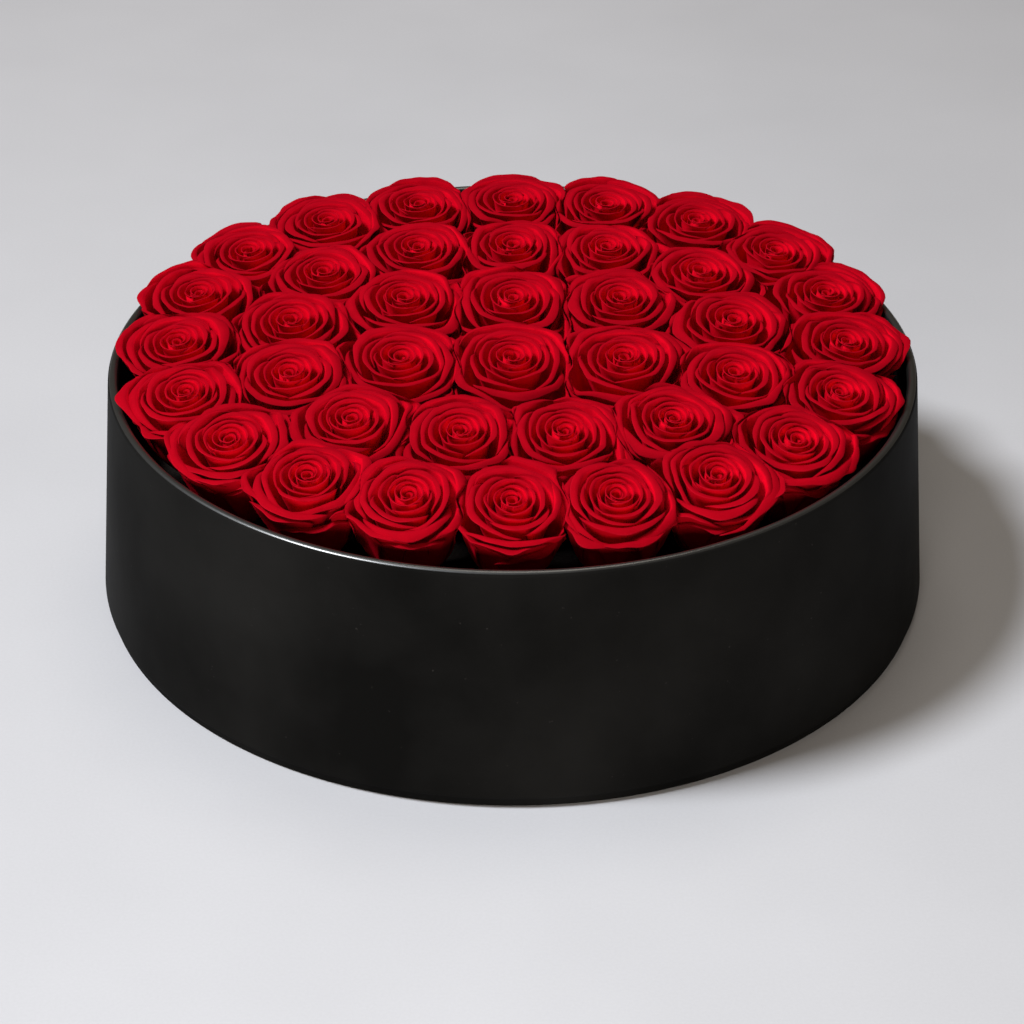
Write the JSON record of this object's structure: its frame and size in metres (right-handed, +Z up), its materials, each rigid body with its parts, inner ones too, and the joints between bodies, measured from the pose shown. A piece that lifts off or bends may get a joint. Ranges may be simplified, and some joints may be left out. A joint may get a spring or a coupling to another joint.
{
  "type": "preserved rose arrangement",
  "caption": "Preserved red roses standing close together in foam inside a low, round black ceramic vase.",
  "frame": {"origin": "centre of the circle that the vase stands on, on the surface under it", "axes": "+Z up along the vase's axis; -Y towards the front, where the front rose of the outer ring stands; +X to the right"},
  "size_m": [0.4, 0.4, 0.1333],
  "materials": {
    "vase_ceramic": "satin",
    "floral_foam": "matte",
    "rose_petals": "matte"
  },
  "bodies": {
    "root": {"vase": "vase_ceramic", "foam_disc": "floral_foam", "rose_01": "rose_petals", "rose_02": "rose_petals", "rose_03": "rose_petals", "rose_04": "rose_petals", "rose_05": "rose_petals", "rose_06": "rose_petals", "rose_07": "rose_petals", "rose_08": "rose_petals", "rose_09": "rose_petals", "rose_10": "rose_petals", "rose_11": "rose_petals", "rose_12": "rose_petals", "rose_13": "rose_petals", "rose_14": "rose_petals", "rose_15": "rose_petals", "rose_16": "rose_petals", "rose_17": "rose_petals", "rose_18": "rose_petals", "rose_19": "rose_petals", "rose_20": "rose_petals", "rose_21": "rose_petals", "rose_22": "rose_petals", "rose_23": "rose_petals", "rose_24": "rose_petals", "rose_25": "rose_petals", "rose_26": "rose_petals", "rose_27": "rose_petals", "rose_28": "rose_petals", "rose_29": "rose_petals", "rose_30": "rose_petals", "rose_31": "rose_petals", "rose_32": "rose_petals", "rose_33": "rose_petals", "rose_34": "rose_petals", "rose_35": "rose_petals", "rose_36": "rose_petals", "rose_37": "rose_petals", "rose_38": "rose_petals", "rose_39": "rose_petals"}
  },
  "joints": []
}
